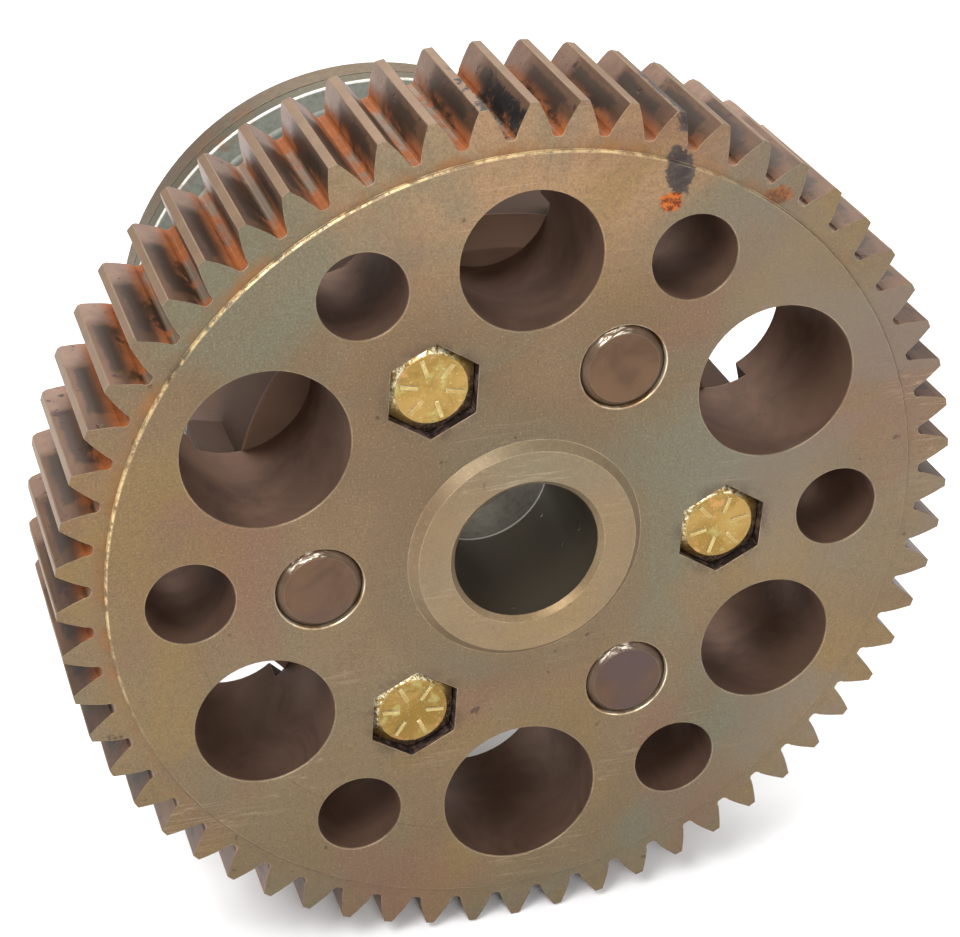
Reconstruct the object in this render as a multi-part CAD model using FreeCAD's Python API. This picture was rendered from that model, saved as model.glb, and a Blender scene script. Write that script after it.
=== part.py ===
import FreeCAD, Part
import math
import os

# Spur gear with a flanged hub bolted and dowelled into its back, in millimetres.
# The gear axis is Y. The machined front face lies in y = 0 and faces -Y, the hub runs back
# along +Y, +Z is up and +X is to the right of someone facing the gear.

V = FreeCAD.Vector
INCH = 25.4
AXIS = V(0, 1, 0)
ORIGIN = V(0, 0, 0)

# Teeth: 5 diametral pitch, full depth, 25 degree pressure angle.
TEETH = 60
MODULE = INCH / 5
PRESSURE_ANGLE = math.radians(25)
PITCH_R = MODULE * TEETH / 2
TIP_R = PITCH_R + MODULE
ROOT_R = PITCH_R - 1.25 * MODULE
BACKLASH = 0.15
ROOT_BLEND = 2.0
FLANK_POINTS = 7

# Gear body. The tooth ring is set back from the machined front face.
RIM_FACE_Y = 1.5
BACK_Y = 62.75
FACE_R = 141.8
RECESS_R = 104.1
SEAT_Y = 52.7
EDGE = 0.6
BACK_EDGE = 1.2

# Boss and shaft bore, one with the gear.
BOSS_R = 41.3
BOSS_HEIGHT = 3.0
BORE_R = 1.0 * INCH
BORE_CHAMFER = 1.9

# Lightening holes: (radius, circle radius, angles).
SMALL_HOLES = (24.1, 105.2, (90, 210, 330))
LARGE_HOLES = (27.9, 101.3, (30, 150, 270))
MEDIUM_HOLES = (14.9, 114.4, (61, 119, 181, 239, 301, 359))
HOLE_CHAMFER = 0.3

# Bolts and dowels share a circle, in pairs astride the small lightening holes.
FIXING_R = 71.4
BOLT_ANGLES = (117, 237, 357)
DOWEL_ANGLES = (63, 183, 303)

# 3/4 inch hex bolts, their heads sunk in hex pockets, screwed into the hub's front wall.
BOLT_R = 0.75 * INCH / 2
HOLE_R = BOLT_R + 0.4
HEX_AF = 1.125 * INCH
POCKET_AF = 29.6
HEAD_RECESS = 2.3
HEAD_HEIGHT = 12.0
HEAD_FLAT_R = 12.1
HEAD_SLOPE = math.radians(30)
BOLT_LENGTH = 2.5 * INCH
THREAD_CHAMFER = 1.5
MARK_ANGLES = (48, 55, 12)
MARK_INNER = 4.8
MARK_OUTER = 11.0
MARK_WIDTH = 1.3
MARK_HEIGHT = 0.5
TAPPED_END_Y = 80.0

# Dowels, chamfered at both ends, standing a little proud of the front face.
DOWEL_R = 19 / 32 * INCH
DOWEL_PROUD = 0.7
DOWEL_CHAMFER = 2.8
DOWEL_MOUTH = 0.4
DOWEL_END_Y = 72.0

# Hub: a hollow drum with a lobed flange at the front and a rim at the open back, in one casting.
LOBE_R = 99.7
LOBE_CENTRES = (90, 210, 330)
LOBE_HALF_ANGLE = 42.5
LOBE_CORNER = 1.5
DRUM_R = 88.0
DRUM_FILLET = 2.5
CAVITY_R = 78.0
CAVITY_FILLET = 6.0
FRONT_WALL_Y = 82.7
HUB_BORE_R = 33.0
REAR_FLANGE_Y = 193.4
HUB_BACK_Y = 213.4
REAR_R = 98.9
GROOVE_Y = 200.8
GROOVE_WIDTH = 1.0
GROOVE_DEPTH = 0.8


def polar(radius, degrees, y=0.0):
    """Point at an angle counted from +X towards +Z, as seen from the front."""
    a = math.radians(degrees)
    return V(radius * math.cos(a), y, radius * math.sin(a))


def disc(radius, y0, y1, centre=ORIGIN):
    return Part.makeCylinder(radius, y1 - y0, centre + V(0, y0, 0), AXIS)


def cone(r0, r1, y0, y1, centre=ORIGIN):
    return Part.makeCone(r0, r1, y1 - y0, centre + V(0, y0, 0), AXIS)


def turned(profile):
    """Solid of revolution about the gear axis from (radius, y) corners."""
    points = [V(r, y, 0) for r, y in profile]
    return Part.Face(Part.makePolygon(points + points[:1])).revolve(ORIGIN, AXIS, 360)


def hexagon(across_flats, y0, y1, angle):
    """Hexagonal prism on the fixing circle with one flat square to the radius."""
    corner_r = across_flats / math.sqrt(3)
    centre = polar(FIXING_R, angle, y0)
    corners = [centre + polar(corner_r, angle + 30 + 60 * k) for k in range(6)]
    return Part.Face(Part.makePolygon(corners + corners[:1])).extrude(V(0, y1 - y0, 0))


def through_hole(radius, y0, y1, centre):
    """Cutter for a hole with both mouths chamfered."""
    over = 1.0
    wide = radius + HOLE_CHAMFER + over
    shaft = disc(radius, y0 - over, y1 + over, centre)
    front = cone(wide, radius, y0 - over, y0 + HOLE_CHAMFER, centre)
    back = cone(radius, wide, y1 - HOLE_CHAMFER, y1 + over, centre)
    return shaft.fuse([front, back])


def involute(angle):
    return math.tan(angle) - angle


def tooth_half_angle(radius):
    """Half of the angle that a tooth spans at a radius, in radians."""
    base_r = PITCH_R * math.cos(PRESSURE_ANGLE)
    at_pitch = (math.pi * MODULE / 2 - BACKLASH) / 2 / PITCH_R
    return at_pitch + involute(PRESSURE_ANGLE) - involute(math.acos(base_r / radius))


def tooth_space():
    """Cutter for the space beside the tooth at the top of the gear."""
    start_r = ROOT_R + ROOT_BLEND
    step = (TIP_R - start_r) / (FLANK_POINTS - 1)
    radii = [start_r + step * i for i in range(FLANK_POINTS)]
    half_pitch = math.pi / TEETH
    middle = 90 + math.degrees(half_pitch)
    gap = [math.degrees(half_pitch - tooth_half_angle(r)) for r in radii]
    edges = []
    ends = {}
    for side in (1, -1):
        flank = [polar(r, middle + side * g) for r, g in zip(radii, gap)]
        floor = polar(ROOT_R, middle + side * gap[0] * 0.45)
        blend = polar(ROOT_R + 0.35 * ROOT_BLEND, middle + side * gap[0] * 0.82)
        outer = flank[-1] * 1.03
        curve = Part.BSplineCurve()
        curve.interpolate(flank)
        edges.append(Part.Arc(floor, blend, flank[0]).toShape())
        edges.append(curve.toShape())
        edges.append(Part.makeLine(flank[-1], outer))
        ends[side] = (floor, outer)
    edges.append(Part.Arc(ends[-1][0], polar(ROOT_R, middle), ends[1][0]).toShape())
    edges.append(Part.makeLine(ends[-1][1], ends[1][1]))
    wire = Part.Wire(Part.__sortEdges__(edges))
    return Part.Face(wire).extrude(V(0, BACK_Y + 2, 0))


def spur_gear():
    blank = turned([
        (BORE_R + BORE_CHAMFER, -BOSS_HEIGHT),
        (BOSS_R - BOSS_HEIGHT, -BOSS_HEIGHT),
        (BOSS_R, 0),
        (FACE_R - EDGE, 0),
        (FACE_R, EDGE),
        (FACE_R, RIM_FACE_Y),
        (TIP_R, RIM_FACE_Y),
        (TIP_R, BACK_Y - BACK_EDGE),
        (TIP_R - BACK_EDGE, BACK_Y),
        (RECESS_R + EDGE, BACK_Y),
        (RECESS_R, BACK_Y - EDGE),
        (RECESS_R, SEAT_Y),
        (BORE_R + EDGE, SEAT_Y),
        (BORE_R, SEAT_Y - EDGE),
        (BORE_R, BORE_CHAMFER - BOSS_HEIGHT),
    ])
    space = tooth_space()
    cutters = []
    for i in range(TEETH):
        cut = space.copy()
        cut.rotate(ORIGIN, AXIS, 360 / TEETH * i)
        cutters.append(cut)
    for radius, circle_r, angles in (SMALL_HOLES, LARGE_HOLES, MEDIUM_HOLES):
        cutters += [through_hole(radius, 0, BACK_Y, polar(circle_r, a)) for a in angles]
    for angle in BOLT_ANGLES:
        cutters.append(disc(HOLE_R, 0, SEAT_Y + 1, polar(FIXING_R, angle)))
        cutters.append(hexagon(POCKET_AF, -1, HEAD_RECESS + HEAD_HEIGHT, angle))
    for angle in DOWEL_ANGLES:
        centre = polar(FIXING_R, angle)
        cutters.append(disc(DOWEL_R, -1, SEAT_Y + 1, centre))
        cutters.append(cone(DOWEL_R + DOWEL_MOUTH, DOWEL_R, 0, DOWEL_MOUTH, centre))
    return blank.cut(cutters)


def lobe(middle):
    """One lobe of the hub's front flange, its outer corners rounded."""
    inner_r = DRUM_R - 4
    a, b = middle - LOBE_HALF_ANGLE, middle + LOBE_HALF_ANGLE
    edges = [
        Part.makeLine(polar(inner_r, a), polar(LOBE_R, a)),
        Part.Arc(polar(LOBE_R, a), polar(LOBE_R, middle), polar(LOBE_R, b)).toShape(),
        Part.makeLine(polar(LOBE_R, b), polar(inner_r, b)),
        Part.Arc(polar(inner_r, b), polar(inner_r, middle), polar(inner_r, a)).toShape(),
    ]
    thickness = FRONT_WALL_Y - SEAT_Y
    plate = Part.Face(Part.Wire(edges)).extrude(V(0, thickness, 0))
    outer = [e for e in plate.Edges if abs(e.BoundBox.YLength - thickness) < 0.01
             and math.hypot(e.CenterOfMass.x, e.CenterOfMass.z) > LOBE_R - 1]
    plate = plate.makeFillet(LOBE_CORNER, outer)
    plate.translate(V(0, SEAT_Y, 0))
    return plate


def hub_drum():
    core = turned([
        (HUB_BORE_R, SEAT_Y + EDGE),
        (HUB_BORE_R + EDGE, SEAT_Y),
        (DRUM_R, SEAT_Y),
        (DRUM_R, REAR_FLANGE_Y - DRUM_FILLET),
        (DRUM_R + DRUM_FILLET, REAR_FLANGE_Y),
        (REAR_R - EDGE, REAR_FLANGE_Y),
        (REAR_R, REAR_FLANGE_Y + EDGE),
        (REAR_R, GROOVE_Y),
        (REAR_R - GROOVE_DEPTH, GROOVE_Y),
        (REAR_R - GROOVE_DEPTH, GROOVE_Y + GROOVE_WIDTH),
        (REAR_R, GROOVE_Y + GROOVE_WIDTH),
        (REAR_R, HUB_BACK_Y - EDGE),
        (REAR_R - EDGE, HUB_BACK_Y),
        (CAVITY_R + EDGE, HUB_BACK_Y),
        (CAVITY_R, HUB_BACK_Y - EDGE),
        (CAVITY_R, FRONT_WALL_Y + CAVITY_FILLET),
        (CAVITY_R - CAVITY_FILLET, FRONT_WALL_Y),
        (HUB_BORE_R + EDGE, FRONT_WALL_Y),
        (HUB_BORE_R, FRONT_WALL_Y - EDGE),
    ])
    body = core.fuse([lobe(a) for a in LOBE_CENTRES]).removeSplitter()
    holes = [disc(BOLT_R, SEAT_Y - 1, TAPPED_END_Y, polar(FIXING_R, a)) for a in BOLT_ANGLES]
    holes += [disc(DOWEL_R, SEAT_Y - 1, DOWEL_END_Y, polar(FIXING_R, a)) for a in DOWEL_ANGLES]
    return body.cut(holes)


def hex_bolt(angle, mark_angle):
    """Hex bolt with six raised radial lines on its head."""
    top = HEAD_RECESS
    seat = HEAD_RECESS + HEAD_HEIGHT
    end = seat + BOLT_LENGTH
    centre = polar(FIXING_R, angle)
    wide_r = HEAD_FLAT_R + HEAD_HEIGHT / math.tan(HEAD_SLOPE)
    crown = cone(HEAD_FLAT_R, wide_r, top, seat, centre)
    head = hexagon(HEX_AF, top, seat, angle).common(crown)
    shank = disc(BOLT_R, seat, end - THREAD_CHAMFER, centre)
    tip = cone(BOLT_R, BOLT_R - THREAD_CHAMFER, end - THREAD_CHAMFER, end, centre)
    marks = []
    for k in range(6):
        bar = Part.makeBox(MARK_OUTER - MARK_INNER, MARK_HEIGHT + 0.2, MARK_WIDTH,
                           V(MARK_INNER, top - MARK_HEIGHT, -MARK_WIDTH / 2))
        bar.rotate(ORIGIN, AXIS, -(mark_angle + 60 * k))
        bar.translate(centre)
        marks.append(bar)
    return head.fuse([shank, tip] + marks).removeSplitter()


def dowel_pin(angle):
    centre = polar(FIXING_R, angle)
    y0, y1 = -DOWEL_PROUD, DOWEL_END_Y
    tip_r = DOWEL_R - DOWEL_CHAMFER
    pin = disc(DOWEL_R, y0 + DOWEL_CHAMFER, y1 - DOWEL_CHAMFER, centre)
    front = cone(tip_r, DOWEL_R, y0, y0 + DOWEL_CHAMFER, centre)
    back = cone(DOWEL_R, tip_r, y1 - DOWEL_CHAMFER, y1, centre)
    return pin.fuse([front, back]).removeSplitter()


def main():
    os.makedirs("parts", exist_ok=True)
    nodes = {"spur_gear": spur_gear(), "hub_drum": hub_drum()}
    for number, (angle, mark_angle) in enumerate(zip(BOLT_ANGLES, MARK_ANGLES), 1):
        nodes["hex_bolt_%d" % number] = hex_bolt(angle, mark_angle)
    for number, angle in enumerate(DOWEL_ANGLES, 1):
        nodes["dowel_pin_%d" % number] = dowel_pin(angle)
    for name, shape in nodes.items():
        solid = shape.Solids[0]
        solid.exportStep("parts/%s.step" % name)


main()
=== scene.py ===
import math
import bpy
from mathutils import Euler, Matrix, Vector


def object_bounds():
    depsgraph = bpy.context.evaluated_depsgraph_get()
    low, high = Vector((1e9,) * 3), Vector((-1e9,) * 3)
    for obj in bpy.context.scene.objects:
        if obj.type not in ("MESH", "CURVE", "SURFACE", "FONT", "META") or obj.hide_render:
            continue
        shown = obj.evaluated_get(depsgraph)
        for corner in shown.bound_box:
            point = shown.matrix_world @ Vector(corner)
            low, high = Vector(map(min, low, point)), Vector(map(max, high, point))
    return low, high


# A spur gear bolted and dowelled to a hollow hub. Its axis is Y, its machined front face is y = 0,
# and y grows toward the back. Metres, and angles in degrees from +X toward +Z.
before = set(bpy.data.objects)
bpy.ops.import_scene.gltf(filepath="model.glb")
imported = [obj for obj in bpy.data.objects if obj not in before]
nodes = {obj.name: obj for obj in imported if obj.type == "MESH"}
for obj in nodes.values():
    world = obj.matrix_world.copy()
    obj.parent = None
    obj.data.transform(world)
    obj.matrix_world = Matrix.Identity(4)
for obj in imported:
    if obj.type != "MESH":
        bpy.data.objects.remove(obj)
cad_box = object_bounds()

# Gear: radii from its axis. ROOT_R is rounded down to 0.1 mm.
BORE_R = 0.0254
BOSS_R = 0.0413
FACE_R = 0.1418
ROOT_R = 0.1460
TIP_R = cad_box[1][0]
SCRIBED_CIRCLE_R = 0.1144

# Gear: depths behind the front face.
BORE_LIP_Y = 0.0508
CONTACT_PATCH_Y = (0.010, 0.046)
STAINS_END_Y = (0.045, 0.035)

# Bolts and dowels, on one circle. POCKET_R takes in the corners of a bolt's hex pocket.
FIXING_R = 0.0714
BOLT_ANGLES = (117, 237, 357)
DOWEL_ANGLES = (63, 183, 303)
DOWEL_R = 0.01508
POCKET_R = 0.0178
HEAD_FLAT_Y = 0.0023

# Hub: depths behind the front face, and radii.
SEAT_Y = 0.0527
FRONT_WALL_Y = 0.0827
RIM_FRONT_Y = 0.1934
GROOVE_Y = 0.2008
HUB_BACK_Y = cad_box[1][1]
HUB_BORE_R = 0.0330
DRUM_R = 0.0880
RIM_R = 0.0989

# Stains on the front: centre x and z, size, and how much taller than wide.
STAIN = (0.0485, 0.1305, 0.0080, 1.8)
STAIN_ON_TEETH = (0.0530, 0.1480, 0.0105, 1.0)
STAIN_FOOT = (0.0462, 0.1205, 0.0075, 0.8)
RUST_PATCH = (0.0840, 0.1180, 0.0110, 0.7)
CRUD = (-0.0100, 0.1530, 0.0125, 1.0)

# Colours, in linear red, green and blue.
OIL_BROWN = ((0.146, 0.094, 0.049), (0.215, 0.146, 0.081))
OIL_YELLOW = (0.200, 0.168, 0.098)
TOP_PAINTED_LIGHT = (0.420, 0.250, 0.130)
FILM_OLIVE = (0.142, 0.150, 0.104)
FILM_AMBER = (0.235, 0.150, 0.052)
FILM_PINK = (0.205, 0.108, 0.072)
FILM_BLUE = (0.165, 0.150, 0.130)
GRIT_BROWN = (0.120, 0.082, 0.050)
SPECK_DARK = (0.105, 0.074, 0.046)
SPECK_PALE = (0.380, 0.290, 0.185)
BOSS_HALO = (0.130, 0.090, 0.060)
BOSS_PALE = (0.400, 0.285, 0.165)
PIT = (0.060, 0.038, 0.026)
SCRATCH = (0.42, 0.33, 0.22)
SCRIBED = (0.09, 0.06, 0.04)
POOLED_RUST = ((0.120, 0.048, 0.014), (0.330, 0.140, 0.030))
STEP_PAINTED_HIGHLIGHT = (0.72, 0.54, 0.27)
FLANK_BROWN = ((0.060, 0.028, 0.013), (0.160, 0.080, 0.040))
FLANK_CONTACT = ((0.016, 0.011, 0.007), (0.060, 0.036, 0.022))
FLANK_UNWORN = ((0.125, 0.066, 0.042), (0.310, 0.190, 0.130))
FLANK_SCAB = (0.050, 0.016, 0.014)
LAND_TAN = ((0.150, 0.086, 0.046), (0.260, 0.162, 0.090))
ROOT_TAN = (0.25, 0.175, 0.115)
ROOT_RUST = ((0.42, 0.115, 0.012), (0.120, 0.030, 0.008))
WALL_BROWN = ((0.110, 0.062, 0.042), (0.200, 0.116, 0.078))
WALL_GRIT = (0.15, 0.105, 0.08)
BORE_BRONZE = (0.130, 0.105, 0.072)
BORE_PAINTED_HIGHLIGHT = (0.85, 0.82, 0.74)
GREASE_HALO = (0.075, 0.050, 0.034)
POCKET_SHADE_AND_GRIME = ((0.030, 0.020, 0.017), (0.170, 0.115, 0.090))
SOCKET_PAINTED_HIGHLIGHT = ((0.480, 0.290, 0.140), (0.900, 0.780, 0.560))
STAIN_BLACK = ((0.022, 0.020, 0.026), (0.085, 0.066, 0.060))
FOOT_RUST = ((0.46, 0.120, 0.020), (0.130, 0.030, 0.012))
PATCH_RUST = ((0.260, 0.085, 0.022), (0.110, 0.040, 0.016))
CRUD_BLACK = (0.012, 0.009, 0.008)
KNOCKED_EDGE = (0.56, 0.43, 0.29)

CASTING = ((0.085, 0.060, 0.040), (0.165, 0.128, 0.090))
RIM_BROWN = (0.200, 0.150, 0.098)
RIM_STRIP = (0.150, 0.150, 0.105)
DRUM_PAINTED_SHADE = (0.085, 0.095, 0.080)
RIM_GREEN = (0.300, 0.325, 0.285)
DRUM_OILED = ((0.075, 0.036, 0.022), (0.130, 0.068, 0.043))
RIM_PAINTED_HIGHLIGHT = (0.85, 0.84, 0.76)
GROOVE_PAINTED_HIGHLIGHT = (0.50, 0.43, 0.30)
BORE_POLISH = (0.27, 0.245, 0.195)
CASTING_GRAIN = (0.070, 0.048, 0.034)
CASTING_RUST = (0.235, 0.085, 0.026)
LOBE_PAINTED_SHADE = (0.085, 0.053, 0.038)
SEAT_BROWN = ((0.190, 0.112, 0.078), (0.270, 0.170, 0.118))
CASTING_EDGE = (0.44, 0.37, 0.28)

ZINC = ((0.250, 0.150, 0.034), (0.370, 0.235, 0.070))
ZINC_GREEN = (0.42, 0.42, 0.16)
ZINC_COPPER = (0.66, 0.33, 0.14)
ZINC_WORN_EDGE_AND_GLINT = (0.92, 0.84, 0.52)
CHAMFER_PAINTED_HIGHLIGHT = (0.90, 0.83, 0.56)
ZINC_MARK = (0.70, 0.57, 0.25)
CHAMFER_SHADE_AND_GREASE = ((0.130, 0.078, 0.058), (0.420, 0.310, 0.240))
SIDE_SHADE_AND_GREASE = (0.100, 0.062, 0.046)
GREASE_SPOT = (0.190, 0.120, 0.045)

DOWEL_BROWN = ((0.078, 0.040, 0.020), (0.128, 0.070, 0.036))
DOWEL_VIOLET = (0.078, 0.050, 0.050)
DOWEL_TURNED = ((0.050, 0.030, 0.020), (0.190, 0.130, 0.088))
DOWEL_PAINTED_HIGHLIGHT = (0.82, 0.74, 0.60)
DOWEL_SHADE = (0.018, 0.012, 0.009)
DOWEL_EDGE = (0.40, 0.31, 0.22)

FLOOR_PAINT = ((0.955, 0.962, 0.975), (0.97, 0.97, 0.975))


class Nodes:
    """One material made of nodes. colour is what has been painted so far."""

    def __init__(self, name):
        self.mat = bpy.data.materials.new(name)
        self.mat.use_nodes = True
        self.tree = self.mat.node_tree
        self.tree.nodes.clear()
        out = self.tree.nodes.new("ShaderNodeOutputMaterial")
        self.shader = self.tree.nodes.new("ShaderNodeBsdfPrincipled")
        self.tree.links.new(self.shader.outputs[0], out.inputs[0])
        self.coord = self.tree.nodes.new("ShaderNodeTexCoord").outputs["Object"]
        self.x, self.y, self.z = self.split(self.coord)
        self.normal = self.tree.nodes.new("ShaderNodeNewGeometry").outputs["Normal"]
        self.nx, self.ny, self.nz = self.split(self.normal)
        self.rounded = None
        self.colour = None

    def split(self, vector):
        node = self.tree.nodes.new("ShaderNodeSeparateXYZ")
        self.tree.links.new(vector, node.inputs[0])
        return node.outputs

    def put(self, value, socket):
        if isinstance(value, bpy.types.NodeSocket):
            self.tree.links.new(value, socket)
        elif isinstance(value, tuple) and len(value) == 3 and socket.type == "RGBA":
            socket.default_value = (*value, 1.0)
        else:
            socket.default_value = value

    def math(self, op, a, b=0.0, clamp=False):
        node = self.tree.nodes.new("ShaderNodeMath")
        node.operation = op
        node.use_clamp = clamp
        self.put(a, node.inputs[0])
        self.put(b, node.inputs[1])
        return node.outputs[0]

    def times(self, first, *rest):
        for value in rest:
            first = self.math("MULTIPLY", first, value)
        return first

    def plus(self, a, b):
        return self.math("ADD", a, b)

    def minus(self, a, b, clamp=False):
        return self.math("SUBTRACT", a, b, clamp)

    def most(self, a, b):
        return self.math("MAXIMUM", a, b)

    def size(self, a):
        return self.math("ABSOLUTE", a)

    def length(self, a, b):
        return self.math("SQRT", self.plus(self.times(a, a), self.times(b, b)))

    def ramp(self, value, low, high, a=0.0, b=1.0):
        """value runs smoothly from low to high, the result from a to b."""
        node = self.tree.nodes.new("ShaderNodeMapRange")
        node.interpolation_type = "SMOOTHSTEP"
        self.put(value, node.inputs["Value"])
        node.inputs["From Min"].default_value = low
        node.inputs["From Max"].default_value = high
        node.inputs["To Min"].default_value = a
        node.inputs["To Max"].default_value = b
        return node.outputs[0]

    def band(self, value, low, high, soft):
        """1 between low and high, fading over soft on either side of each."""
        up = self.ramp(value, low - soft, low + soft)
        down = self.ramp(value, high - soft, high + soft, 1.0, 0.0)
        return self.times(up, down)

    def mix(self, factor, a, b):
        node = self.tree.nodes.new("ShaderNodeMix")
        node.data_type = "RGBA"
        self.put(factor, node.inputs["Factor"])
        self.put(a, node.inputs[6])
        self.put(b, node.inputs[7])
        return node.outputs[2]

    def paint(self, amount, colour):
        self.colour = self.mix(amount, self.colour, colour)

    def mapped(self, scale, shift, turn=(0.0, 0.0, 0.0)):
        node = self.tree.nodes.new("ShaderNodeMapping")
        self.put(self.coord, node.inputs["Vector"])
        node.inputs["Rotation"].default_value = turn
        node.inputs["Scale"].default_value = scale
        node.inputs["Location"].default_value = shift
        return node.outputs[0]

    def noise(self, scale, detail=4.0, rough=0.55, stretch=(1, 1, 1), shift=(0, 0, 0), warp=0.0, at=None):
        """Values round 0.5. at is used in place of the stretched and shifted coordinates."""
        node = self.tree.nodes.new("ShaderNodeTexNoise")
        self.put(self.mapped(stretch, shift) if at is None else at, node.inputs["Vector"])
        node.inputs["Scale"].default_value = scale
        node.inputs["Detail"].default_value = detail
        node.inputs["Roughness"].default_value = rough
        node.inputs["Distortion"].default_value = warp
        return node.outputs["Fac"]

    def edges(self, radius):
        """1 near a sharp edge, 0 on the open face. It also rounds the edges that the light sees."""
        bevel = self.tree.nodes.new("ShaderNodeBevel")
        bevel.samples = 4
        bevel.inputs["Radius"].default_value = radius
        self.rounded = bevel.outputs[0]
        dot = self.tree.nodes.new("ShaderNodeVectorMath")
        dot.operation = "DOT_PRODUCT"
        self.tree.links.new(self.rounded, dot.inputs[0])
        self.tree.links.new(self.normal, dot.inputs[1])
        return self.ramp(dot.outputs["Value"], 0.995, 0.88)

    def radius(self):
        return self.length(self.x, self.z)

    def spot(self, x, z, size, tall):
        """1 at a point of the face, falling to 0 at size from it, or tall times as far up and down."""
        dx = self.minus(self.x, x)
        dz = self.times(self.minus(self.z, z), 1.0 / tall)
        return self.ramp(self.length(dx, dz), size, 0.0)

    def toward(self, x, z):
        """How far the surface faces a direction in the plane of the gear's face, from -1 to 1."""
        return self.plus(self.times(self.nx, x), self.times(self.nz, z))

    def nearest(self, angles):
        """Distance to the nearest of the fixing centres at these angles."""
        best = None
        for angle in angles:
            turn = math.radians(angle)
            dx = self.minus(self.x, FIXING_R * math.cos(turn))
            dz = self.minus(self.z, FIXING_R * math.sin(turn))
            away = self.length(dx, dz)
            best = away if best is None else self.math("MINIMUM", best, away)
        return best

    def finish(self, rough, metal, heights):
        """heights is a list of (value, strength, distance in metres)."""
        self.put(self.colour, self.shader.inputs["Base Color"])
        self.put(rough, self.shader.inputs["Roughness"])
        self.put(metal, self.shader.inputs["Metallic"])
        normal = self.rounded
        for value, strength, distance in heights:
            bump = self.tree.nodes.new("ShaderNodeBump")
            bump.inputs["Strength"].default_value = strength
            bump.inputs["Distance"].default_value = distance
            self.put(value, bump.inputs["Height"])
            if normal is not None:
                self.tree.links.new(normal, bump.inputs["Normal"])
            normal = bump.outputs[0]
        if normal is not None:
            self.tree.links.new(normal, self.shader.inputs["Normal"])
        return self.mat


def scratches(m, turn, seed):
    """Thin straight scratches on the face, running one way."""
    along = m.mapped((1.2, 1.0, 22.0), (seed, seed * 0.7, seed * 1.3), (0.0, turn, 0.0))
    off = m.size(m.minus(m.noise(16.0, 2.0, 0.5, at=along), 0.5))
    line = m.ramp(off, 0.02, 0.0)
    return m.times(line, m.ramp(m.noise(14.0, 2.0, shift=(seed, seed, 0)), 0.60, 0.74))


def face_film(m, r, facing):
    """The machined face under an uneven film of oil, with a paler boss and painted light across its top.
    """
    cloud = m.noise(11.0, 5.0, 0.6, warp=0.8)
    drift = m.noise(5.0, 3.0, 0.5, shift=(3.1, 0, 1.7), warp=0.5)
    m.colour = m.mix(m.ramp(cloud, 0.15, 0.85), *OIL_BROWN)
    m.paint(m.ramp(drift, 0.40, 0.70, 0.0, 0.60), OIL_YELLOW)
    # Painted light: the top of the face, where the light falls, is painted lighter.
    top = m.times(m.ramp(m.z, 0.075, 0.135), m.ramp(m.size(m.x), 0.10, 0.03))
    m.paint(m.times(top, 0.70), TOP_PAINTED_LIGHT)
    film = m.noise(9.0, 3.0, 0.5, shift=(7.7, 0, 4.2), warp=1.4)
    m.paint(m.ramp(film, 0.48, 0.68, 0.0, 0.75), FILM_OLIVE)
    m.paint(m.ramp(film, 0.50, 0.32, 0.0, 0.60), FILM_AMBER)
    pink = m.noise(13.0, 3.0, 0.5, shift=(1.3, 0, 9.1), warp=1.0)
    m.paint(m.ramp(pink, 0.52, 0.70, 0.0, 0.60), FILM_PINK)
    grit = m.noise(420.0, 3.0, 0.7)
    m.paint(m.ramp(grit, 0.35, 0.75, 0.0, 0.35), GRIT_BROWN)
    speck = m.noise(1300.0, 2.0, 0.6)
    m.paint(m.ramp(speck, 0.42, 0.70, 0.0, 0.42), SPECK_DARK)
    m.paint(m.ramp(speck, 0.42, 0.28, 0.0, 0.30), SPECK_PALE)
    halo = m.times(m.band(r, BOSS_R + 0.0012, BOSS_R + 0.0147, 0.0040), m.ramp(cloud, 0.35, 0.65))
    m.paint(m.times(halo, 0.35), BOSS_HALO)
    pits = m.ramp(m.noise(150.0, 2.0, 0.5, shift=(2, 0, 5)), 0.71, 0.76)
    m.paint(m.times(pits, 0.7), PIT)
    marks = m.most(scratches(m, 0.5, 1.9), scratches(m, -0.9, 6.3))
    marks = m.times(m.most(marks, scratches(m, 1.9, 11.7)), facing)
    m.paint(m.times(marks, 0.40), SCRATCH)

    scribe = m.band(r, SCRIBED_CIRCLE_R - 0.00015, SCRIBED_CIRCLE_R + 0.00015, 0.00012)
    m.paint(m.times(scribe, m.ramp(cloud, 0.44, 0.60, 0.0, 0.6)), SCRIBED)
    blue = m.ramp(m.noise(8.0, 4.0, 0.6, shift=(9, 0, 3), warp=0.9), 0.42, 0.62)
    m.paint(m.times(m.ramp(m.x, 0.02, 0.12), blue, 0.50), FILM_BLUE)

    boss = m.times(m.ramp(r, BOSS_R + 0.0004, BOSS_R - 0.0002), m.ramp(m.y, 0.001, 0.0))
    m.paint(m.times(boss, m.ramp(pink, 0.35, 0.65, 0.20, 0.55)), BOSS_PALE)
    return drift, grit, pits, marks


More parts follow.
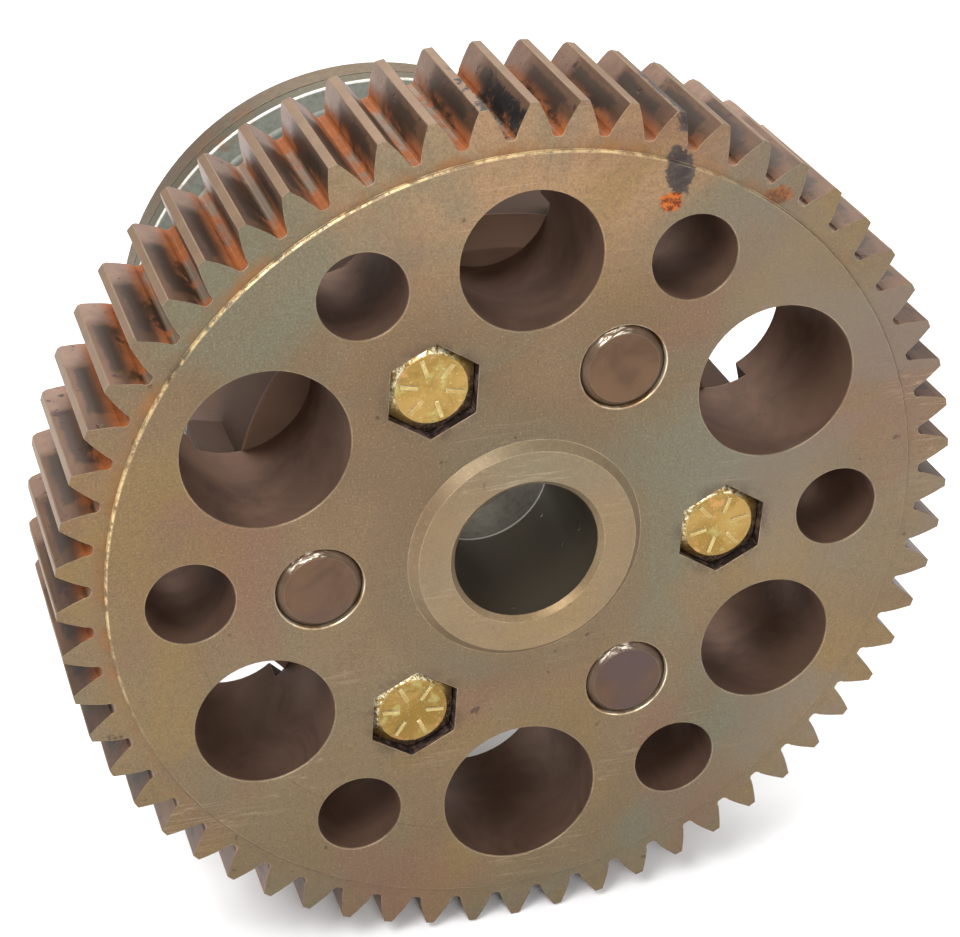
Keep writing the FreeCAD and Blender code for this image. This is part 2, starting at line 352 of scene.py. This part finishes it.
def step_rust(m, r, upper_left):
    """Rust pooled outside the step, thickest to the upper left, and a painted highlight along the step's
    edge.
    """
    near_step = m.times(m.ramp(r, FACE_R - 0.0004, FACE_R), m.ramp(r, FACE_R + 0.0057, FACE_R + 0.0002))
    blotch = m.ramp(m.noise(46.0, 6.0, 0.7, warp=1.2), 0.42, 0.62, 0.05, 1.0)
    pool = m.times(near_step, m.ramp(upper_left, -0.35, 0.85), blotch, m.ramp(m.y, 0.006, 0.003))
    m.paint(m.times(pool, 0.85), m.mix(m.noise(120.0, 4.0, 0.7), *POOLED_RUST))
    # Painted highlight: a sparkling bright line on the upper-left arc of the step's edge.
    step = m.times(m.band(r, FACE_R - 0.0006, FACE_R + 0.0001, 0.0002), m.ramp(m.y, 0.003, 0.002))
    sparkle = m.ramp(m.noise(190.0, 4.0, 0.75, shift=(8, 0, 2)), 0.42, 0.60)
    step_highlight = m.times(step, m.times(m.ramp(upper_left, 0.15, 0.75), sparkle))
    m.paint(step_highlight, STEP_PAINTED_HIGHLIGHT)
    return pool, step_highlight


def tooth_flanks(m, r, side, upper_left):
    """Oil-brown worn flanks with dark contact patches, a paler unworn strip at the back, tan lands."""
    teeth = m.ramp(r, ROOT_R - 0.0010, ROOT_R + 0.0002)
    flank = m.times(teeth, side)
    worn = m.ramp(m.plus(m.y, m.times(m.noise(60.0, 4.0, 0.6), 0.012)), 0.056, 0.049)
    wander = m.minus(m.noise(85.0, 4.0, 0.65, shift=(2, 6, 1)), 0.5)
    patch_y = m.plus(m.y, m.times(wander, 0.026))
    patch_r = m.plus(r, m.times(wander, 0.004))
    contact = m.ramp(patch_r, ROOT_R + 0.0100, ROOT_R + 0.0085)
    contact = m.times(contact, m.band(patch_y, *CONTACT_PATCH_Y, 0.0020))
    streak = m.noise(70.0, 5.0, 0.65, stretch=(1.0, 0.18, 1.0))
    brown = m.mix(m.ramp(streak, 0.30, 0.72), *FLANK_BROWN)
    brown = m.mix(m.times(contact, 0.85), brown, m.mix(streak, *FLANK_CONTACT))
    unworn = m.mix(m.noise(160.0, 4.0, 0.7), *FLANK_UNWORN)
    m.paint(flank, m.mix(worn, unworn, brown))
    scabs = m.ramp(m.noise(190.0, 4.0, 0.7, shift=(1, 2, 7)), 0.60, 0.67)
    m.paint(m.times(scabs, flank), FLANK_SCAB)
    land = m.times(m.ramp(r, TIP_R - 0.0006, TIP_R - 0.0001), side)
    m.paint(land, m.mix(m.noise(110.0, 4.0, 0.6), *LAND_TAN))
    root = m.times(m.band(r, ROOT_R - 0.0005, ROOT_R + 0.0008, 0.0003), side)
    m.paint(m.times(root, 0.6), ROOT_TAN)
    runs = m.ramp(m.noise(34.0, 5.0, 0.7, stretch=(1.0, 0.45, 1.0), shift=(4, 1, 2), warp=0.3), 0.41, 0.52)
    low_flank = m.times(m.ramp(r, ROOT_R + 0.0065, ROOT_R + 0.0015), m.times(side, teeth))
    rust = m.times(m.times(runs, low_flank), m.ramp(upper_left, 0.10, 0.70))
    m.paint(rust, m.mix(m.noise(240.0, 4.0, 0.7), *ROOT_RUST))
    return flank, rust


def hole_walls(m, r, square_on):
    """The walls of the lightening holes, and the inside of the shaft bore with a painted highlight at its
    back edge.
    """
    along_axis = m.ramp(square_on, 0.45, 0.25)
    wall = m.times(m.ramp(r, FACE_R - 0.0010, FACE_R - 0.0016), along_axis)
    brown = m.mix(m.ramp(m.noise(30.0, 6.0, 0.65, warp=0.8), 0.28, 0.72), *WALL_BROWN)
    brown = m.mix(m.ramp(m.noise(260.0, 3.0, 0.6), 0.55, 0.78, 0.0, 0.3), brown, WALL_GRIT)
    m.paint(wall, brown)
    bore = m.times(m.ramp(r, BORE_R + 0.0006, BORE_R + 0.0002), along_axis)
    m.paint(bore, BORE_BRONZE)
    # Painted highlight: a bright band at the bore's back edge.
    m.paint(m.times(bore, m.ramp(m.y, BORE_LIP_Y, BORE_LIP_Y + 0.0008)), BORE_PAINTED_HIGHLIGHT)
    return wall, bore


def fixing_mouths(m):
    """Grease round the bolt heads, painted shade and grime in their pockets, a painted highlight where the
    dowels enter.
    """
    bolt_away = m.nearest(BOLT_ANGLES)
    halo = m.times(m.ramp(bolt_away, 0.0205, 0.0150), m.ramp(m.noise(130.0, 4.0, 0.65), 0.40, 0.62))
    m.paint(m.times(halo, 0.55), GREASE_HALO)
    # Painted shade and grime: the bolt pockets are painted dark, with paler flecks.
    pocket = m.times(m.ramp(bolt_away, POCKET_R, POCKET_R - 0.0003), m.ramp(m.y, 0.00015, 0.0005))
    m.paint(pocket, m.mix(m.ramp(m.noise(260.0, 3.0, 0.6), 0.45, 0.65), *POCKET_SHADE_AND_GRIME))
    # Painted highlight: a bright ring round each dowel's mouth, as on a chamfer catching the light.
    socket = m.ramp(m.nearest(DOWEL_ANGLES), DOWEL_R + 0.0007, DOWEL_R + 0.0004)
    socket = m.times(socket, m.ramp(m.y, 0.00002, 0.00012))
    m.paint(socket, m.mix(m.ramp(m.noise(90.0, 4.0, 0.6), 0.40, 0.60), *SOCKET_PAINTED_HIGHLIGHT))
    return socket


def front_stains(m, r, flank, grit):
    """A blue-black stain with rust at its foot, a rust patch to its right, black crud in a tooth gap."""
    ragged = m.times(m.minus(m.noise(170.0, 5.0, 0.75, warp=0.6), 0.5), 1.5)
    near_front = m.ramp(m.y, *STAINS_END_Y)
    stain = m.ramp(m.plus(m.spot(*STAIN), ragged), 0.28, 0.46)
    on_teeth = m.ramp(m.plus(m.spot(*STAIN_ON_TEETH), ragged), 0.40, 0.55)
    stain = m.times(m.most(stain, on_teeth), near_front)
    m.paint(m.times(stain, 0.90), m.mix(m.ramp(ragged, -0.2, 0.3), *STAIN_BLACK))
    foot = m.ramp(m.plus(m.spot(*STAIN_FOOT), ragged), 0.36, 0.50)
    m.paint(m.times(foot, near_front), m.mix(m.ramp(grit, 0.42, 0.58), *FOOT_RUST))
    patch = m.ramp(m.plus(m.spot(*RUST_PATCH), ragged), 0.44, 0.80)
    patch = m.times(patch, near_front, m.ramp(r, FACE_R - 0.0010, FACE_R))
    m.paint(m.times(patch, 0.85), m.mix(m.ramp(grit, 0.40, 0.60), *PATCH_RUST))
    crud = m.ramp(m.plus(m.spot(*CRUD), ragged), 0.34, 0.48)
    m.paint(m.times(crud, m.times(flank, near_front)), CRUD_BLACK)


def gear_steel():
    m = Nodes("oiled_gear_steel")
    r = m.radius()
    square_on = m.size(m.ny)
    facing = m.ramp(square_on, 0.55, 0.85)
    side = m.minus(1.0, facing)
    upper_left = m.plus(m.times(m.x, -4.0), m.times(m.z, 5.0))

    drift, grit, pits, marks = face_film(m, r, facing)
    pool, step_highlight = step_rust(m, r, upper_left)
    flank, rust = tooth_flanks(m, r, side, upper_left)
    wall, bore = hole_walls(m, r, square_on)
    socket = fixing_mouths(m)
    front_stains(m, r, flank, grit)

    knocked = m.times(m.edges(0.00045), m.ramp(m.noise(75.0, 3.0, 0.6), 0.38, 0.60, 0.20, 0.85))
    m.paint(m.times(knocked, m.ramp(r, ROOT_R + 0.0010, ROOT_R + 0.0030, 1.0, 0.45)), KNOCKED_EDGE)

    rusty = m.most(rust, pool)
    rough = m.plus(m.ramp(drift, 0.35, 0.65, 0.52, 0.36), m.times(rusty, 0.4))
    rough = m.plus(rough, m.times(wall, 0.18))
    rough = m.minus(rough, m.times(bore, 0.30), clamp=True)
    rough = m.minus(rough, m.times(m.most(socket, step_highlight), 0.18), clamp=True)
    metal = m.minus(0.72, m.times(rusty, 0.6), clamp=True)
    metal = m.minus(metal, m.times(flank, 0.30), clamp=True)
    pitted = (m.times(pits, -1.0), 0.5, 0.0003)
    scratched = (m.times(marks, -1.0), 0.25, 0.0002)
    return m.finish(rough, metal, [(grit, 0.10, 0.0003), pitted, scratched, (rusty, 0.35, 0.0004)])


def hub_iron():
    """A casting: brown and oiled toward the gear, grey-green toward the rim, polished in its bore, with
    painted shade on the lobes and the back of the drum and painted highlights at the rim's front edge and
    at its groove.
    """
    m = Nodes("oily_hub_casting")
    r = m.radius()
    cloud = m.noise(16.0, 5.0, 0.6, warp=0.6)
    m.colour = m.mix(m.ramp(cloud, 0.34, 0.66), *CASTING)
    m.paint(m.times(m.band(m.y, GROOVE_Y + 0.0012, HUB_BACK_Y + 0.0006, 0.0004), 0.7), RIM_BROWN)
    m.paint(m.times(m.band(m.y, RIM_FRONT_Y - 0.0004, GROOVE_Y, 0.0004), 0.55), RIM_STRIP)

    wander = m.noise(26.0, 5.0, 0.7, stretch=(1.0, 0.5, 1.0), shift=(3, 5, 2), warp=0.8)
    reach = m.plus(m.y, m.times(m.minus(wander, 0.5), 0.09))
    green = m.times(m.ramp(m.y, RIM_FRONT_Y + 0.0003, RIM_FRONT_Y - 0.0001), m.ramp(reach, 0.138, 0.158))
    on_flange = m.ramp(r, DRUM_R + 0.0005, DRUM_R + 0.0025)
    # Toward the rim the flange face is painted grey-green, and the drum behind it is painted dark as
    # painted shade under the gear.
    m.paint(m.times(green, 0.9), m.mix(on_flange, DRUM_PAINTED_SHADE, RIM_GREEN))
    oiled = m.times(m.ramp(reach, 0.156, 0.132), m.ramp(r, DRUM_R - 0.0010, DRUM_R - 0.0002))
    m.paint(m.times(oiled, 0.9), m.mix(cloud, *DRUM_OILED))

    # Painted highlight: a bright line along the rim's front edge.
    lip = m.band(m.y, RIM_FRONT_Y - 0.0002, RIM_FRONT_Y + 0.0009, 0.0002)
    m.paint(m.times(lip, m.ramp(r, RIM_R - 0.0011, RIM_R - 0.0005)), RIM_PAINTED_HIGHLIGHT)
    # Painted highlight: a pale line along the groove's edges.
    groove = m.band(m.y, GROOVE_Y, GROOVE_Y + 0.0010, 0.0002)
    m.paint(m.times(groove, m.ramp(r, RIM_R - 0.0003, RIM_R - 0.0007)), GROOVE_PAINTED_HIGHLIGHT)
    in_bore = m.ramp(r, HUB_BORE_R + 0.0015, HUB_BORE_R + 0.0005)
    m.paint(m.times(in_bore, m.ramp(m.y, FRONT_WALL_Y + 0.0013, FRONT_WALL_Y - 0.0002)), BORE_POLISH)

    grain = m.noise(330.0, 4.0, 0.7)
    m.paint(m.ramp(grain, 0.40, 0.72, 0.0, 0.35), CASTING_GRAIN)
    rust = m.ramp(m.noise(28.0, 5.0, 0.65, shift=(5, 2, 1), warp=0.7), 0.60, 0.72)
    m.paint(m.times(rust, 0.6), CASTING_RUST)
    # Painted shade: the lobes behind the gear are painted darker.
    lobes = m.ramp(m.y, FRONT_WALL_Y + 0.0053, FRONT_WALL_Y + 0.0013)
    lobes = m.times(lobes, m.ramp(r, DRUM_R - 0.0010, DRUM_R + 0.0005))
    m.paint(m.times(lobes, 0.75), LOBE_PAINTED_SHADE)
    m.paint(m.times(m.ramp(m.y, SEAT_Y + 0.0008, SEAT_Y + 0.0003), 0.85), m.mix(cloud, *SEAT_BROWN))
    m.paint(m.times(m.edges(0.00045), m.ramp(m.y, 0.080, 0.150, 0.15, 0.6)), CASTING_EDGE)

    rough = m.most(m.ramp(cloud, 0.3, 0.7, 0.42, 0.62), m.times(oiled, 0.85))
    m.shader.inputs["Specular IOR Level"].default_value = 0.2
    metal = m.minus(0.70, m.times(m.most(green, oiled), 0.68))
    return m.finish(rough, metal, [(grain, 0.25, 0.0004), (cloud, 0.3, 0.0008)])


def yellow_zinc():
    """Painted shade and grease on the sides of the head and the thread, painted shade with grease flecks
    on the lower right of the chamfer, painted highlights on its upper left.
    """
    m = Nodes("yellow_zinc_plate")
    tone = m.noise(70.0, 4.0, 0.6, warp=0.9)
    m.colour = m.mix(m.ramp(tone, 0.35, 0.65), *ZINC)
    haze = m.noise(120.0, 3.0, 0.6, shift=(2, 3, 5))
    m.paint(m.ramp(haze, 0.58, 0.70, 0.0, 0.5), ZINC_GREEN)
    m.paint(m.ramp(haze, 0.40, 0.30, 0.0, 0.4), ZINC_COPPER)

    # Painted shade and grease: the sides of the head and the thread are painted dark.
    side = m.times(m.ramp(m.size(m.ny), 0.55, 0.25), m.ramp(m.y, 0.0026, 0.0036))
    head = m.ramp(m.y, 0.0065, 0.0045)
    chamfer = m.times(head, m.ramp(m.y, HEAD_FLAT_Y + 0.00005, HEAD_FLAT_Y + 0.0003))
    # Painted shade: the lower right of the chamfer, facing away from the light, is painted dark, with
    # paler grease flecks.
    low = m.times(chamfer, m.ramp(m.toward(0.6, -0.8), 0.05, 0.35))
    # Painted highlight: bright flecks on the upper left of the chamfer, facing the light.
    high = m.times(chamfer, m.ramp(m.toward(-0.6, 0.8), 0.00, 0.35))
    flecks = m.ramp(m.noise(700.0, 3.0, 0.7, shift=(3, 8, 2)), 0.44, 0.56)
    m.paint(m.times(m.times(m.edges(0.0003), head), 0.8), ZINC_WORN_EDGE_AND_GLINT)
    m.paint(m.times(high, flecks), CHAMFER_PAINTED_HIGHLIGHT)
    m.paint(m.times(low, 0.85), m.mix(m.ramp(flecks, 0.75, 1.0), *CHAMFER_SHADE_AND_GREASE))
    m.paint(m.times(side, 0.85), SIDE_SHADE_AND_GREASE)
    marks = m.ramp(m.y, HEAD_FLAT_Y - 0.00005, HEAD_FLAT_Y - 0.0003)
    m.paint(m.times(marks, m.ramp(tone, 0.35, 0.60, 0.55, 0.10)), ZINC_MARK)

    grain = m.noise(650.0, 3.0, 0.7)
    # Painted highlight: scattered bright sparkles over the plating.
    m.paint(m.times(m.ramp(m.noise(900.0, 2.0, 0.6), 0.60, 0.70), 0.2), ZINC_WORN_EDGE_AND_GLINT)
    grease = m.ramp(m.noise(210.0, 4.0, 0.7, shift=(6, 1, 3)), 0.60, 0.70)
    m.paint(m.times(grease, 0.45), GREASE_SPOT)
    rough = m.ramp(tone, 0.3, 0.7, 0.24, 0.42)
    return m.finish(rough, 0.85, [(grain, 0.45, 0.0003), (tone, 0.4, 0.0006)])


def dark_steel():
    """Brown stained ends, more violet on the lowest dowel, with a turned chamfer round them and a painted
    highlight on its upper left.
    """
    m = Nodes("stained_dowel_steel")
    tone = m.noise(48.0, 5.0, 0.6, warp=1.0)
    m.colour = m.mix(m.ramp(tone, 0.32, 0.68), *DOWEL_BROWN)
    violet = m.ramp(m.noise(40.0, 3.0, 0.5, shift=(4, 4, 9)), 0.35, 0.60)
    m.paint(m.times(m.times(m.ramp(m.z, 0.02, -0.05), violet), 0.8), DOWEL_VIOLET)
    chamfer = m.ramp(m.y, -0.0006, -0.0004)
    lathe = m.noise(300.0, 3.0, 0.7, stretch=(1.0, 6.0, 1.0))
    m.paint(m.times(chamfer, 0.7), m.mix(lathe, *DOWEL_TURNED))
    # Painted highlight: bright streaks on the upper left of the chamfer, facing the light.
    dowel_highlight = m.times(m.ramp(m.toward(-0.35, 0.94), 0.58, 0.70), m.ramp(lathe, 0.48, 0.62))
    m.paint(m.times(chamfer, dowel_highlight), DOWEL_PAINTED_HIGHLIGHT)
    m.paint(m.ramp(m.y, 0.0008, 0.0018, 0.0, 0.9), DOWEL_SHADE)
    m.paint(m.times(m.times(m.edges(0.0003), m.ramp(m.y, 0.0006, 0.0)), 0.5), DOWEL_EDGE)
    rough = m.ramp(tone, 0.3, 0.7, 0.36, 0.50)
    return m.finish(rough, 0.60, [(m.noise(500.0, 3.0, 0.6), 0.12, 0.0002)])


def floor_paint():
    m = Nodes("pale_floor")
    m.colour = m.mix(m.noise(2.5, 4.0, 0.5), *FLOOR_PAINT)
    return m.finish(0.85, 0.0, [])


def set_material(obj, mat):
    if obj.data.materials:
        for i in range(len(obj.data.materials)):
            obj.data.materials[i] = mat
    else:
        obj.data.materials.append(mat)


def softbox(name, place, target, size, watts):
    light = bpy.data.lights.new(name, "AREA")
    light.shape = "RECTANGLE"
    light.size, light.size_y = size
    light.energy = watts
    obj = bpy.data.objects.new(name, light)
    bpy.context.scene.collection.objects.link(obj)
    obj.location = place
    obj.rotation_euler = (Vector(target) - Vector(place)).to_track_quat("-Z", "Y").to_euler()


steel = gear_steel()
zinc = yellow_zinc()
dowel_steel = dark_steel()
set_material(nodes["spur_gear"], steel)
set_material(nodes["hub_drum"], hub_iron())
for number in (1, 2, 3):
    set_material(nodes["hex_bolt_%d" % number], zinc)
    set_material(nodes["dowel_pin_%d" % number], dowel_steel)

# Floor under the lowest tooth.
bpy.ops.mesh.primitive_plane_add(size=12.0, location=(0.0, 0.0, cad_box[0][2]))
floor = bpy.context.object
floor.name = "floor"
set_material(floor, floor_paint())

world = bpy.data.worlds.new("studio")
bpy.context.scene.world = world
world.use_nodes = True
background = world.node_tree.nodes["Background"]
background.inputs["Color"].default_value = (1.0, 0.99, 0.975, 1.0)
background.inputs["Strength"].default_value = 0.72

softbox("key", (-0.95, -0.75, 1.55), (0, 0, 0), (0.8, 0.8), 24.0)
softbox("front", (-0.25, -1.5, 0.95), (0, 0, 0.02), (0.5, 0.5), 10.0)
softbox("fill", (1.3, -1.2, 0.9), (0, 0, 0), (1.2, 1.0), 6.0)
softbox("back", (0.2, 1.5, 1.9), (0, 0.4, -0.15), (2.2, 1.6), 40.0)

# Plain display colours, so that the pale floor stays pale.
bpy.context.scene.view_settings.view_transform = "Standard"

# Camera: from the front left, looking 29 degrees down. The tilt counts from straight down, the pan is
# about Z, and a small last turn is about Y.
LENS_MM = 89.44
CAMERA_PLACE = (-0.2273, -0.6510, 0.4116)
CAMERA_TILT = 60.84
CAMERA_PAN = -17.54
CAMERA_TURN = -0.75
camera_data = bpy.data.cameras.new("camera")
camera_data.sensor_fit = "HORIZONTAL"
camera_data.sensor_width = 36.0
camera_data.lens = LENS_MM
camera = bpy.data.objects.new("camera", camera_data)
bpy.context.scene.collection.objects.link(camera)
turn = Matrix.Rotation(math.radians(CAMERA_TURN), 4, "Y")
look = Euler((math.radians(CAMERA_TILT), 0.0, math.radians(CAMERA_PAN))).to_matrix().to_4x4()
camera.matrix_world = Matrix.Translation(CAMERA_PLACE) @ turn @ look
bpy.context.scene.camera = camera
